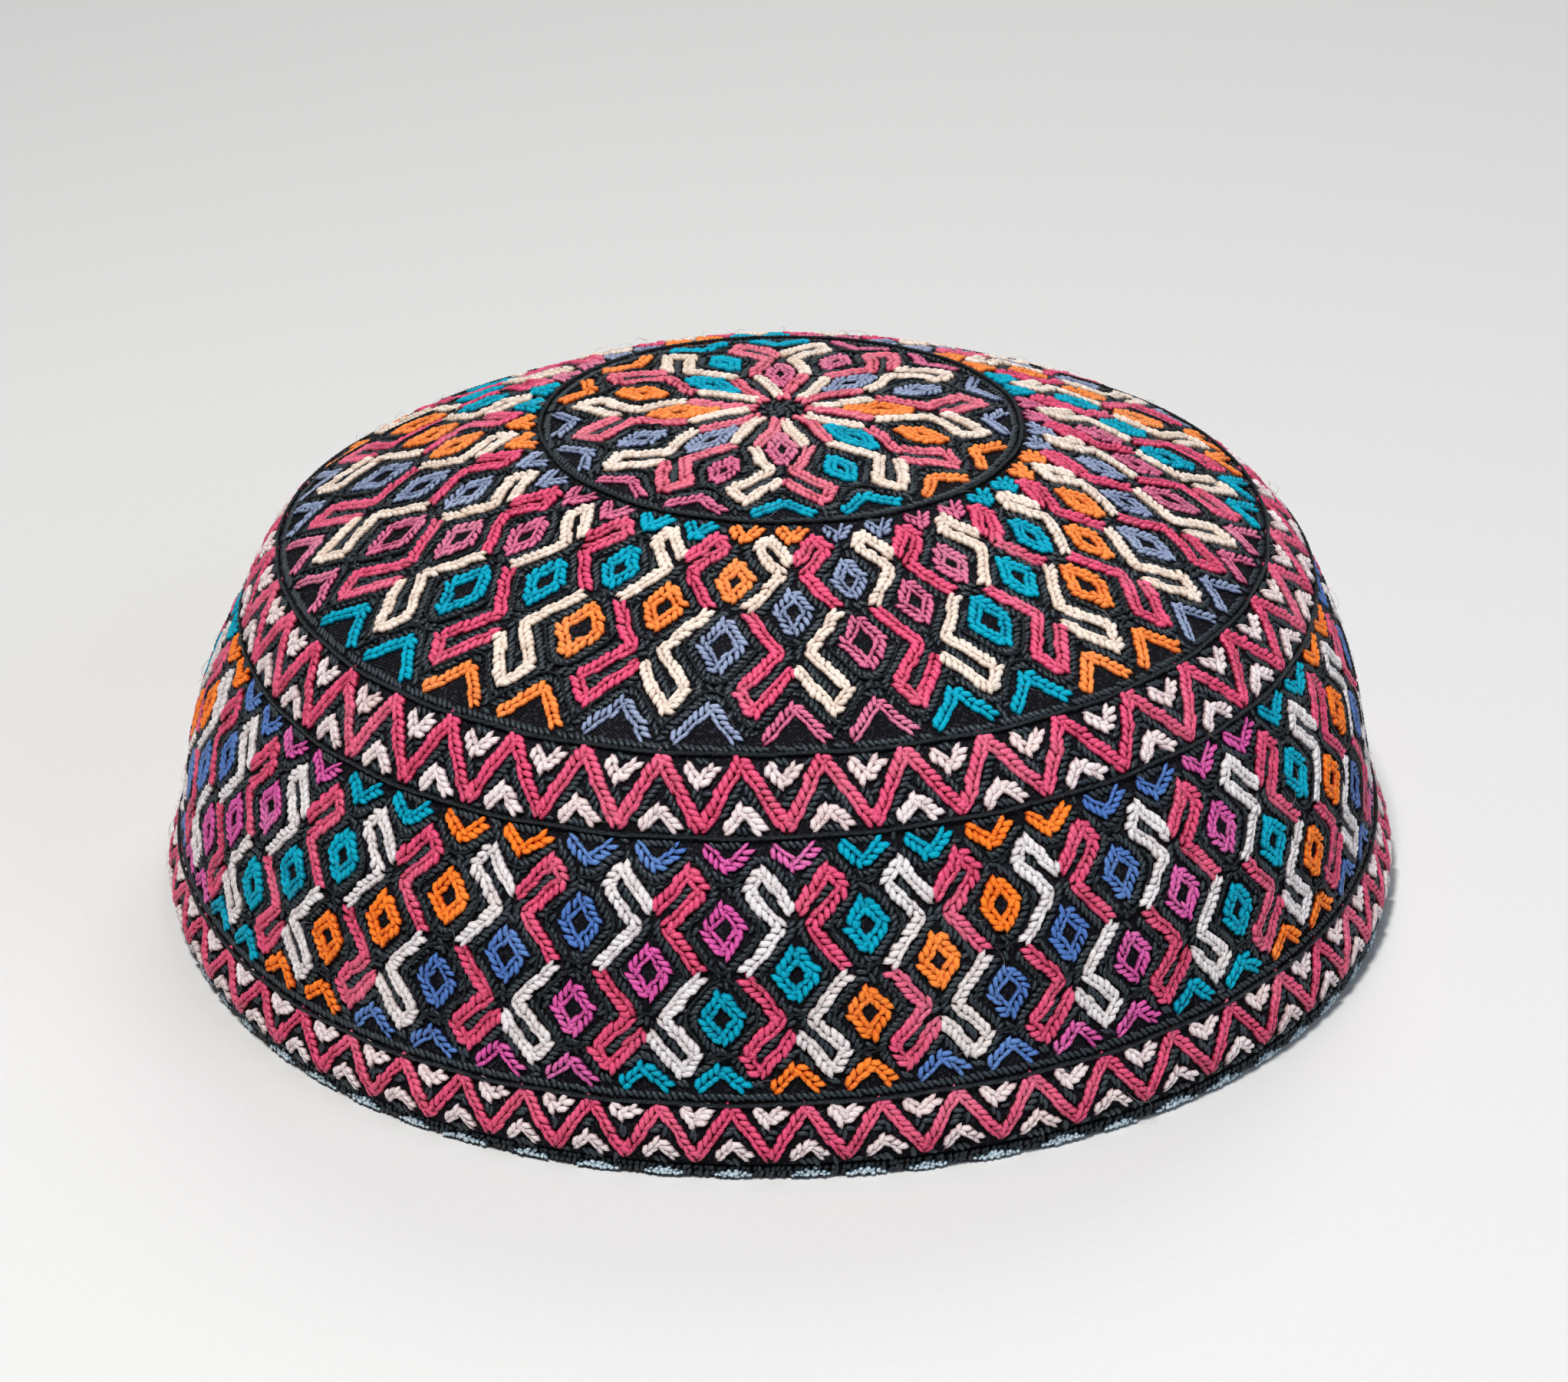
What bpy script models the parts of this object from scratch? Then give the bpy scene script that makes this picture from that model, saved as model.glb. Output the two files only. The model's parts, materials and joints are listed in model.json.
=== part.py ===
"""Embroidered skullcap: a low round cloth cap, worked all over in chain stitch.

The cap stands on its rim, open below for the head. It is sewn from a crown and three bands of
quilted cloth, with a thin corded line over each seam and an overcast edging round the rim.
+Z is up, the wearer's front is -Y, and the origin is on the table under the middle of the cap.
"""

import math

import bmesh
import bpy
import numpy as np
from mathutils import Vector

# Driving sizes in metres.
CLOTH = 0.0022
SEAM_GAP = 0.0003
CORD_RADIUS = 0.0005
EDGING_HEIGHT = 0.0020
EDGING_PROUD = 0.0004
EDGING_ROUND = 0.0004
SIDES = 72

# Outside of the cloth, section by section from the top. Lean is the rise towards +X as a share
# of x, shift moves the section towards +X, and uneven is how much of ROUNDNESS it takes.
SECTIONS = (
    # name            radius   height   lean     shift    uneven
    ("crown centre", 0.0000, 0.0713, 0.000, 0.0003, 0.50),
    ("crown ring",   0.0335, 0.0687, -0.018, 0.0003, 0.50),
    ("crown middle", 0.0526, 0.0613, -0.007, -0.0003, 0.75),
    ("crown edge",   0.0694, 0.0523, 0.005, -0.0009, 0.90),
    ("border seam",  0.0757, 0.0438, 0.023, -0.0002, 1.00),
    ("side middle",  0.0827, 0.0284, 0.020, -0.0004, 1.00),
    ("hem seam",     0.0863, 0.0106, 0.016, -0.0007, 1.00),
    ("hem belly",    0.0882, 0.0050, 0.008, -0.0005, 1.00),
    ("rim",          0.0874, 0.0000, 0.000, -0.0004, 1.00),
)
STATION = {row[0]: place for place, row in enumerate(SECTIONS)}
RADII, HEIGHTS, LEANS, SHIFTS, UNEVEN = (
    [row[column] for row in SECTIONS] for column in range(1, 6)
)
RIM_RADIUS = RADII[-1]

# The cap has settled a little out of round. Each row is one wave round the rim.
ROUNDNESS = (
    # waves   cosine    sine
    (2, -0.021, -0.002),
    (3, 0.016, 0.005),
    (4, -0.010, -0.004),
)

# Shallow hollows pressed into the wall. Angles run from the front towards +X.
DENTS = (
    # angle in degrees   height   reach in degrees   reach in height   depth
    (98, 0.024, 32, 0.022, 0.0014),
    (-145, 0.030, 26, 0.018, 0.0008),
)

# Cloth pieces: their sections from top to bottom and the rows of faces between them.
PANELS = (
    # name              top             bottom         rows
    ("crown_top", "crown centre", "crown edge", 8),
    ("upper_border_band", "crown edge", "border seam", 3),
    ("side_band", "border seam", "hem seam", 6),
)
HEM_ROWS = 4

CORDS = (
    # name           section
    ("crown_cord", "crown ring"),
    ("crown_edge_cord", "crown edge"),
    ("border_cord", "border seam"),
    ("hem_cord", "hem seam"),
)

FINISHES = {
    # finish         red, green, blue        roughness
    "embroidery": ((0.085, 0.045, 0.060), 0.55),
    "cord": ((0.012, 0.014, 0.018), 0.50),
    "edging": ((0.420, 0.480, 0.580), 0.60),
}


def profile_point(station):
    """Radius and height of the outside at a station, which counts the sections from the top."""
    low = min(int(station), len(SECTIONS) - 2)
    share = station - low
    points = [Vector((RADII[i], HEIGHTS[i])) for i in range(len(SECTIONS))]
    before = points[low - 1] if low else Vector((-RADII[1], HEIGHTS[1]))
    after = points[low + 2] if low + 2 < len(points) else 2 * points[-1] - points[-2]
    start, end = points[low], points[low + 1]
    reach = (end - start).length
    leave = (end - before) * reach / (end - before).length
    arrive = (after - start) * reach / (after - start).length
    square, cube = share**2, share**3
    return (
        start * (2 * cube - 3 * square + 1)
        + leave * (cube - 2 * square + share)
        + end * (3 * square - 2 * cube)
        + arrive * (cube - square)
    )


def profile_normal(station):
    """Outward normal of the profile, as radius and height."""
    step = 1e-3
    low = max(station - step, 0)
    high = min(station + step, len(SECTIONS) - 1)
    run = (profile_point(high) - profile_point(low)).normalized()
    return Vector((0, 1)) if station < step else Vector((-run.y, run.x))


def moved_along(station, distance):
    """The station that lies this far down the profile."""
    step = 1e-3
    speed = (profile_point(station + step) - profile_point(station)).length / step
    return station + distance / speed


def station_at_height(height):
    low, high = 0.0, len(SECTIONS) - 1.0
    while high - low > 1e-5:
        middle = (low + high) / 2
        if profile_point(middle).y > height:
            low = middle
        else:
            high = middle
    return low


def settled(radius, angle, height):
    """The real place of a point of the ideal turned cap. Angle 0 is the front."""
    uneven = np.interp(-height, [-h for h in HEIGHTS], UNEVEN)
    wave = sum(c * math.cos(n * angle) + s * math.sin(n * angle) for n, c, s in ROUNDNESS)
    radius *= 1 + uneven * wave
    for middle, level, width, tall, depth in DENTS:
        turn = (math.degrees(angle) - middle + 180) % 360 - 180
        radius -= depth * math.exp(-((turn / width) ** 2) - ((height - level) / tall) ** 2)
    x = radius * math.sin(angle)
    y = -radius * math.cos(angle)
    lean = np.interp(-height, [-h for h in HEIGHTS], LEANS)
    shift = np.interp(-height, [-h for h in HEIGHTS], SHIFTS)
    return Vector((x + shift, y, height + lean * x))


def rim_middle():
    """Middle of the edging's outline, which the origin stands under."""
    reach = RIM_RADIUS + EDGING_PROUD
    rim = [settled(reach, math.tau * i / SIDES, EDGING_ROUND) for i in range(SIDES)]
    xs, ys = [p.x for p in rim], [p.y for p in rim]
    return Vector(((min(xs) + max(xs)) / 2, (min(ys) + max(ys)) / 2, 0))


MIDDLE = rim_middle()


def new_material(name, finish):
    colour, roughness = FINISHES[finish]
    material = bpy.data.materials.new(name)
    material.use_nodes = True
    shader = material.node_tree.nodes["Principled BSDF"]
    shader.inputs["Base Color"].default_value = (*colour, 1)
    shader.inputs["Roughness"].default_value = roughness
    shader.inputs["Metallic"].default_value = 0
    return material


def turned(name, outline, closed, finish):
    """Spins an outline of (radius, height) round the cap and settles it into its real form."""
    form = bmesh.new()
    line = [form.verts.new((radius, 0, height)) for radius, height in outline]
    pairs = list(zip(line, line[1:] + line[:1])) if closed else list(zip(line, line[1:]))
    edges = [form.edges.new(pair) for pair in pairs]
    bmesh.ops.spin(
        form, geom=line + edges, cent=(0, 0, 0), axis=(0, 0, 1), angle=math.tau, steps=SIDES,
        use_merge=True,
    )
    bmesh.ops.remove_doubles(form, verts=form.verts, dist=1e-6)
    for vert in form.verts:
        angle = math.atan2(vert.co.x, -vert.co.y)
        vert.co = settled(math.hypot(vert.co.x, vert.co.y), angle, vert.co.z) - MIDDLE
    bmesh.ops.recalc_face_normals(form, faces=form.faces)
    mesh = bpy.data.meshes.new(name)
    form.to_mesh(mesh)
    form.free()
    mesh.materials.append(new_material(name, finish))
    mesh.shade_smooth()
    mesh.set_sharp_from_angle(angle=math.radians(40))
    cap.objects.link(bpy.data.objects.new(name, mesh))


def wall_outline(top, bottom, rows):
    """Outside line down from one station to the next, then the inside line back up."""
    stations = np.linspace(top, bottom, rows + 1)
    outside = [profile_point(s) for s in stations]
    inside = [profile_point(s) - CLOTH * profile_normal(s) for s in stations]
    return outside + inside[::-1]


def make_panels():
    for name, top, bottom, rows in PANELS:
        at_centre = STATION[top] == 0
        start = 0.0 if at_centre else moved_along(STATION[top], SEAM_GAP / 2)
        end = moved_along(STATION[bottom], -SEAM_GAP / 2)
        turned(name, wall_outline(start, end, rows), not at_centre, "embroidery")


def make_hem():
    start = moved_along(STATION["hem seam"], SEAM_GAP / 2)
    end = station_at_height(EDGING_HEIGHT + SEAM_GAP)
    turned("hem_band", wall_outline(start, end, HEM_ROWS), True, "embroidery")


def make_edging():
    """The overcast rim: a flat-bottomed ring with rounded corners, a little proud of the cloth."""
    outer = RIM_RADIUS + EDGING_PROUD
    inner = RIM_RADIUS - CLOTH - EDGING_PROUD
    low, high = 0.0, EDGING_HEIGHT
    cut = EDGING_ROUND
    outline = [
        (inner + cut, low), (outer - cut, low), (outer, low + cut), (outer, high - cut),
        (outer - cut, high), (inner + cut, high), (inner, high - cut), (inner, low + cut),
    ]
    turned("rim_edging", outline, True, "edging")


def make_cords():
    for name, section in CORDS:
        station = STATION[section]
        lift = CORD_RADIUS + SEAM_GAP
        radius, height = profile_point(station) + lift * profile_normal(station)
        curve = bpy.data.curves.new(name, "CURVE")
        curve.dimensions = "3D"
        curve.bevel_depth = CORD_RADIUS
        curve.bevel_resolution = 1
        line = curve.splines.new("POLY")
        line.points.add(SIDES - 1)
        for i, point in enumerate(line.points):
            place = settled(radius, math.tau * i / SIDES, height) - MIDDLE
            point.co = (*place, 1)
        line.use_cyclic_u = True
        curve.materials.append(new_material(name, "cord"))
        cap.objects.link(bpy.data.objects.new(name, curve))


for old in list(bpy.data.objects):
    bpy.data.objects.remove(old, do_unlink=True)
cap = bpy.data.collections.new("embroidered_cap")
bpy.context.scene.collection.children.link(cap)
make_panels()
make_hem()
make_edging()
make_cords()
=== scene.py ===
import json
import math

import bpy
import numpy as np
from mathutils import Matrix, Vector
from mathutils.kdtree import KDTree

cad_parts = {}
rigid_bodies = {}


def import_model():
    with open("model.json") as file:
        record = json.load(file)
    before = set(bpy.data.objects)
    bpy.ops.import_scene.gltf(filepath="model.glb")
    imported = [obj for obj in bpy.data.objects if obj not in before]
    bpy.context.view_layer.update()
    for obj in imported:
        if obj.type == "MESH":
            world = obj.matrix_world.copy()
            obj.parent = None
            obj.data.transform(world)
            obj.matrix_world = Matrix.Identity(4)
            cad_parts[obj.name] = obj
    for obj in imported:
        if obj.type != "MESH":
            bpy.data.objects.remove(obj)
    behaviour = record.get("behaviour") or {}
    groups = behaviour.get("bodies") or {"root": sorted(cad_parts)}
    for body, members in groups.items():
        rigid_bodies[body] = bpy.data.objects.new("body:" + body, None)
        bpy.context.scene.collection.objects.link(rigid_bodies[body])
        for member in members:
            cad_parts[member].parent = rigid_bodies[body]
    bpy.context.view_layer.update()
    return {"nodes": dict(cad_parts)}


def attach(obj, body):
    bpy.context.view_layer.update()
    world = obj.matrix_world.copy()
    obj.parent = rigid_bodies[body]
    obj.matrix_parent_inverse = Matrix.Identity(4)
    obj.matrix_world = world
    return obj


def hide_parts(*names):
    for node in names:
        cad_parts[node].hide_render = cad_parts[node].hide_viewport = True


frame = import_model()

MM = 0.001
RANDOM = np.random.default_rng(417)

# The cap's form: the same sections, roundness and dents as the sewn panels
SECTIONS = (
    # name, radius, height, lean of the level, sideways shift, share of the unevenness
    ("crown centre", 0.0000, 0.0713, 0.000, 0.0003, 0.50),
    ("crown ring",   0.0335, 0.0687, -0.018, 0.0003, 0.50),
    ("crown middle", 0.0526, 0.0613, -0.007, -0.0003, 0.75),
    ("crown edge",   0.0694, 0.0523, 0.005, -0.0009, 0.90),
    ("border seam",  0.0757, 0.0438, 0.023, -0.0002, 1.00),
    ("side middle",  0.0827, 0.0284, 0.020, -0.0004, 1.00),
    ("hem seam",     0.0863, 0.0106, 0.016, -0.0007, 1.00),
    ("hem belly",    0.0882, 0.0050, 0.008, -0.0005, 1.00),
    ("rim",          0.0874, 0.0000, 0.000, -0.0004, 1.00),
)
ROUNDNESS = ((2, -0.021, -0.002), (3, 0.016, 0.005), (4, -0.010, -0.004))  # waves round, cosine, sine
DENTS = (
    # angle, height, reach in degrees, reach in height, depth
    (98, 0.024, 32, 0.022, 0.0014),
    (-145, 0.030, 26, 0.018, 0.0008),
)
CLOTH = 0.0022
EDGING_HEIGHT = 0.0020
EDGING_PROUD = 0.0004
EDGING_ROUND = 0.0004
SEAM_GAP = 0.0003

# Thread sizes
SAMPLE = 0.12 * MM
LINK_PITCH = 0.99 * MM
FILL_PITCH = 0.86 * MM
FILL_ROW = 1.55 * MM
FILL_STEP = 1.26 * MM
FINE_CORD_ROW = 2.25 * MM
RING_CORD_PITCH = 0.62 * MM
FINE_CORD_PITCH = 0.62 * MM
SHELL_SIDES = 216

column = {name: np.array([row[i] for row in SECTIONS])
          for i, name in enumerate(("", "radius", "height", "lean", "shift", "uneven")) if name}


def profile():
    """The outline from the crown's centre to the rim, smooth through every section."""
    points = np.stack([column["radius"], column["height"]], 1)
    before = np.vstack([[-points[1, 0], points[1, 1]], points[:-2]])
    after = np.vstack([points[2:], 2 * points[-1] - points[-2]])
    rows = []
    for i, (start, end) in enumerate(zip(points[:-1], points[1:])):
        t = np.linspace(0, 1, 41)[:, None][(1 if i else 0):]
        reach = np.linalg.norm(end - start)
        leave = (end - before[i]) * reach / np.linalg.norm(end - before[i])
        arrive = (after[i] - start) * reach / np.linalg.norm(after[i] - start)
        rows.append(start * (2 * t**3 - 3 * t**2 + 1) + leave * (t**3 - 2 * t**2 + t)
                    + end * (3 * t**2 - 2 * t**3) + arrive * (t**3 - t**2))
    return np.vstack(rows)


LINE = profile()
ARC = np.concatenate([[0], np.cumsum(np.linalg.norm(np.diff(LINE, axis=0), axis=1))])
STOP = {section[0]: ARC[40 * i] for i, section in enumerate(SECTIONS)}
EDGE_ARC = np.interp(-(EDGING_HEIGHT + SEAM_GAP), -LINE[:, 1], ARC)


def settled(radius, angle, height):
    """Where a point of the round cap lies once the cloth has settled out of round."""
    share = np.interp(-height, -column["height"], column["uneven"])
    wave = sum(c * np.cos(n * angle) + s * np.sin(n * angle) for n, c, s in ROUNDNESS)
    radius = radius * (1 + share * wave)
    for middle, level, width, tall, depth in DENTS:
        turn = (np.degrees(angle) - middle + 180) % 360 - 180
        radius = radius - depth * np.exp(-(turn / width) ** 2 - ((height - level) / tall) ** 2)
    x, y = radius * np.sin(angle), -radius * np.cos(angle)
    lean = np.interp(-height, -column["height"], column["lean"])
    shift = np.interp(-height, -column["height"], column["shift"])
    return np.stack([x + shift, y, height + lean * x], -1)


def middle_of_rim():
    angle = np.linspace(0, math.tau, 73)[:-1]
    rim = settled(np.full(72, column["radius"][-1] + EDGING_PROUD), angle, np.full(72, EDGING_ROUND))
    return np.array([(rim[:, 0].min() + rim[:, 0].max()) / 2, (rim[:, 1].min() + rim[:, 1].max()) / 2, 0])


MIDDLE = middle_of_rim()


def on_cloth(angle, arc):
    """The point of the outer cloth at this angle round the cap and this way down its outline."""
    return settled(np.interp(arc, ARC, LINE[:, 0]), angle, np.interp(arc, ARC, LINE[:, 1])) - MIDDLE


def cloth_axes(angle, arc):
    """The two directions along the cloth, the normal, and metres for each unit of angle and of arc."""
    turn, slide = 1e-3, 1e-4
    arc = np.maximum(arc, 3e-4)
    round_way = (on_cloth(angle + turn, arc) - on_cloth(angle - turn, arc)) / (2 * turn)
    down_way = (on_cloth(angle, arc + slide) - on_cloth(angle, arc - slide)) / (2 * slide)
    per_angle = np.linalg.norm(round_way, axis=-1, keepdims=True)
    per_arc = np.linalg.norm(down_way, axis=-1, keepdims=True)
    round_way, down_way = round_way / per_angle, down_way / per_arc
    normal = np.cross(down_way, round_way)
    normal /= np.linalg.norm(normal, axis=-1, keepdims=True)
    return round_way, down_way, normal, per_angle[..., 0], per_arc[..., 0]


# Modelling helpers

def start():
    if bpy.context.object and bpy.context.object.mode != "OBJECT":
        bpy.ops.object.mode_set(mode="OBJECT")
    bpy.ops.object.select_all(action="DESELECT")


def edit(kind="VERT"):
    bpy.ops.object.mode_set(mode="EDIT")
    bpy.ops.mesh.select_mode(type=kind)


def done(name):
    """Leaves edit mode and names the piece."""
    bpy.ops.object.mode_set(mode="OBJECT")
    piece = bpy.context.object
    piece.name = piece.data.name = name
    return piece


def pick(test):
    """Selects the vertices of the piece being edited that pass the test."""
    bpy.ops.mesh.select_all(action="DESELECT")
    bpy.ops.object.mode_set(mode="OBJECT")
    for vertex in bpy.context.object.data.vertices:
        vertex.select = bool(test(vertex.co))
    bpy.ops.object.mode_set(mode="EDIT")


def raise_ring(up, wide=1.0, deep=1.0):
    """Extrudes the selected face or edge ring upwards, then narrows or widens it."""
    bpy.ops.mesh.extrude_region_move(TRANSFORM_OT_translate={"value": (0, 0, up)})
    bpy.ops.transform.resize(value=(wide, deep, 1))


def coordinates(mesh):
    flat = np.empty(len(mesh.vertices) * 3, np.float32)
    mesh.vertices.foreach_get("co", flat)
    return flat.reshape(-1, 3).astype(float)


def keep(piece, slot, finish, *nodes):
    """The calls that every finished piece of the cap gets."""
    piece.data.materials.clear()
    piece.data.materials.append(finish)
    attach(piece, "root")
    if nodes:
        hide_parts(*nodes)
    return piece


# Shader maths

class Signal:
    """A socket that Python's operators work on: each one adds its Math node."""

    def __init__(self, finish, socket):
        self.finish, self.socket = finish, socket

    def math(self, operation, first, second=0.0):
        return self.finish.node("ShaderNodeMath", {"operation": operation}, {0: first, 1: second})

    def __add__(self, other):
        return self.math("ADD", self, other)

    def __sub__(self, other):
        return self.math("SUBTRACT", self, other)

    def __mul__(self, other):
        return self.math("MULTIPLY", self, other)

    def __truediv__(self, other):
        return self.math("DIVIDE", self, other)

    def __pow__(self, other):
        return self.math("POWER", self, other)

    def __rsub__(self, other):
        return self.math("SUBTRACT", other, self)

    __radd__ = __add__
    __rmul__ = __mul__

    def clamp(self):
        return self.finish.node("ShaderNodeClamp", {}, {"Value": self})


class Finish:
    """A material being made, with one method for every kind of node."""

    def __init__(self, name):
        self.material = bpy.data.materials.new(name)
        self.material.use_nodes = True
        self.tree = self.material.node_tree
        self.shader = self.tree.nodes["Principled BSDF"]

    def node(self, kind, settings, values, out=0):
        made = self.tree.nodes.new(kind)
        for setting, value in settings.items():
            if setting == "stops":
                while len(made.color_ramp.elements) < len(value):
                    made.color_ramp.elements.new(0.5)
                for element, (place, colour) in zip(made.color_ramp.elements, value):
                    element.position, element.color = place, (*colour, 1)
            else:
                setattr(made, setting, value)
        for socket, value in values.items():
            self.plug(made.inputs[socket], value)
        return Signal(self, made.outputs[out])

    def plug(self, socket, value):
        if isinstance(value, Signal):
            self.tree.links.new(value.socket, socket)
        elif isinstance(value, tuple) and len(value) == 3 and socket.type == "RGBA":
            socket.default_value = (*value, 1)
        else:
            socket.default_value = value

    def mix(self, share, low, high, blend="MIX"):
        return self.node("ShaderNodeMix", {"data_type": "RGBA", "blend_type": blend},
                         {0: share, 6: low, 7: high}, 2)

    def attribute(self, name):
        return self.node("ShaderNodeAttribute", {"attribute_name": name}, {}, "Fac")

    def noise(self, where, scale, detail=2.0, roughness=0.5):
        return self.node("ShaderNodeTexNoise", {},
                         {"Vector": where, "Scale": scale, "Detail": detail, "Roughness": roughness})

    def place(self, source, scale=(1, 1, 1), shift=(0, 0, 0)):
        where = self.node("ShaderNodeTexCoord", {}, {}, source)
        return self.node("ShaderNodeMapping", {}, {"Vector": where, "Scale": scale, "Location": shift})

    def bump(self, height, distance, strength=1.0):
        normal = self.node("ShaderNodeBump", {}, {"Height": height, "Distance": distance, "Strength": strength})
        self.set("Normal", normal)

    def set(self, socket, value):
        self.plug(self.shader.inputs[socket], value)


def thread_finish(name, light, deep, dust, roughness=0.40, sheen=0.0, gloss=0.34, bite=2.1):
    """Glossy cotton: lighter on the rails with a painted highlight, deep in the pits with painted shade, both taken
    from the height within each stitch, with fine fibres along each strand.
    """
    finish = Finish(name)
    tone = finish.attribute("tone")
    rise = finish.attribute("rise")
    strand = finish.node("ShaderNodeVectorMath", {"operation": "ADD"},
                         {0: finish.place("UV", (900, 7000, 1)),
                          1: finish.node("ShaderNodeCombineXYZ", {}, {"Z": tone * 40})})
    fibre = finish.noise(strand, 1.0, 3.0, 0.6)
    ply = finish.node("ShaderNodeTexWave", {"wave_type": "BANDS", "bands_direction": "DIAGONAL"},
                      {"Vector": finish.place("UV"), "Scale": 0.628 / 0.00052, "Distortion": 1.5})
    patch = finish.noise(finish.place("Object"), 70, 3.0)
    # painted shade and painted highlight: low points of each stitch take the deep colour and high points the light
    # one, shifted by the random tone, fibres and ply
    shade = ((rise - 0.5) * bite + (tone - 0.5) * 0.5 + (fibre - 0.5) * 1.1 + (ply - 0.5) * 0.3).clamp()
    colour = finish.mix(shade, deep, light)
    worn = ((patch - 0.48) * 2.6 + (fibre - 0.5) * 0.8).clamp() * 0.5
    finish.set("Base Color", finish.mix(worn, colour, dust))
    finish.set("Roughness", roughness + (fibre - 0.5) * 0.25 + (1 - rise) * 0.2)
    finish.set("Sheen Weight", sheen)
    finish.set("Sheen Roughness", 0.45)
    finish.set("Specular IOR Level", gloss)
    finish.bump(fibre * 0.6 + ply * 0.4, 0.00009, 0.9)
    return finish.material


def twill_finish(name, dark, light, rib, way="UV"):
    """Fine dark twill: slanting ribs crossed by the threads, with lint and faded patches."""
    finish = Finish(name)
    where = finish.place(way)
    slant = finish.node("ShaderNodeTexWave", {"wave_type": "BANDS", "bands_direction": "DIAGONAL"},
                        {"Vector": where, "Scale": 0.628 / rib, "Distortion": 1.2, "Detail": 1.0,
                         "Detail Scale": 3.0})
    cross = finish.node("ShaderNodeTexWave", {"wave_type": "BANDS", "bands_direction": "X"},
                        {"Vector": where, "Scale": 1.1 / rib, "Distortion": 0.8})
    patch = finish.noise(finish.place("Object"), 90, 4.0)
    lint = finish.noise(finish.place("Object"), 2200, 2.0)
    weave = (slant * 0.7 + cross * 0.3).clamp()
    shade = (weave * 0.40 + patch * 0.4 - 0.25 + ((lint - 0.55) * 8).clamp() * 0.9).clamp()
    finish.set("Base Color", finish.mix(shade, dark, light))
    finish.set("Roughness", 0.95 - weave * 0.15)
    finish.set("Specular IOR Level", 0.1)
    finish.bump(weave, 0.00009, 0.8)
    return finish.material


def floor_finish():
    finish = Finish("pale_floor")
    grain = finish.noise(finish.place("Object"), 900, 3.0)
    finish.set("Base Color", finish.mix(grain, (0.66, 0.655, 0.645), (0.70, 0.695, 0.685)))
    finish.set("Roughness", 0.85)
    return finish.material


# Per thread: light is its colour with a painted highlight for the tops of the stitches, deep is its painted shade
# colour for the pits, and dust is its faded colour for random patches; bite sets how steeply the painted shade
# falls off.
THREADS = {
    "red": thread_finish("crimson_thread", (0.74, 0.072, 0.180), (0.195, 0.0008, 0.016), (0.84, 0.30, 0.40)),
    "rose": thread_finish("faded_crimson_thread", (0.76, 0.150, 0.225), (0.22, 0.008, 0.030),
                          (0.80, 0.36, 0.42)),
    "white": thread_finish("white_thread", (0.79, 0.745, 0.75), (0.33, 0.27, 0.27), (0.70, 0.57, 0.48)),
    "cream": thread_finish("cream_thread", (0.82, 0.71, 0.62), (0.38, 0.25, 0.18), (0.76, 0.57, 0.41)),
    "pink": thread_finish("pinkish_white_thread", (0.81, 0.71, 0.71), (0.34, 0.21, 0.22),
                          (0.74, 0.50, 0.42)),
    "teal": thread_finish("teal_thread", (0.000, 0.36, 0.51), (0.000, 0.085, 0.15), (0.000, 0.44, 0.57),
                          0.5, 0.0, 0.10),
    "orange": thread_finish("orange_thread", (0.98, 0.225, 0.016), (0.46, 0.040, 0.001), (0.98, 0.38, 0.10),
                            0.45, 0.0, 0.2),
    "blue": thread_finish("blue_thread", (0.062, 0.160, 0.46), (0.001, 0.005, 0.040), (0.22, 0.38, 0.66),
                          bite=2.6),
    "slate": thread_finish("slate_blue_thread", (0.26, 0.32, 0.48), (0.016, 0.022, 0.065), (0.42, 0.46, 0.58)),
    "magenta": thread_finish("magenta_thread", (0.66, 0.085, 0.35), (0.140, 0.001, 0.055), (0.86, 0.40, 0.60), bite=2.4),
    "mauve": thread_finish("dusty_pink_thread", (0.66, 0.14, 0.27), (0.15, 0.008, 0.038), (0.80, 0.40, 0.50)),
    "apricot": thread_finish("faded_orange_thread", (0.92, 0.27, 0.055), (0.46, 0.060, 0.005),
                             (0.94, 0.42, 0.17), 0.45, 0.0, 0.2),
    "black": thread_finish("black_thread", (0.0140, 0.0225, 0.0300), (0.0001, 0.0002, 0.0004),
                           (0.034, 0.048, 0.060), 0.46, 0.0, 0.42, 3.0),
}
# The cords, the pale edging and the loose fibres get the same painted highlight on top and painted shade low down.
CORD = thread_finish("dark_cord_thread", (0.017, 0.027, 0.036), (0.0005, 0.0010, 0.0015),
                     (0.040, 0.054, 0.066), 0.45, 0.0, 0.42, 2.4)
OVERCAST = thread_finish("pale_edging_thread", (0.60, 0.72, 0.78), (0.07, 0.15, 0.21), (0.50, 0.58, 0.62), 0.55)
LINT = thread_finish("loose_fibre", (0.62, 0.58, 0.56), (0.30, 0.27, 0.26), (0.5, 0.45, 0.43), 0.6)
TWILL = twill_finish("dark_twill", (0.0006, 0.0006, 0.0010), (0.0280, 0.0270, 0.0370), 0.00050)


# The ground cloth

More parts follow.
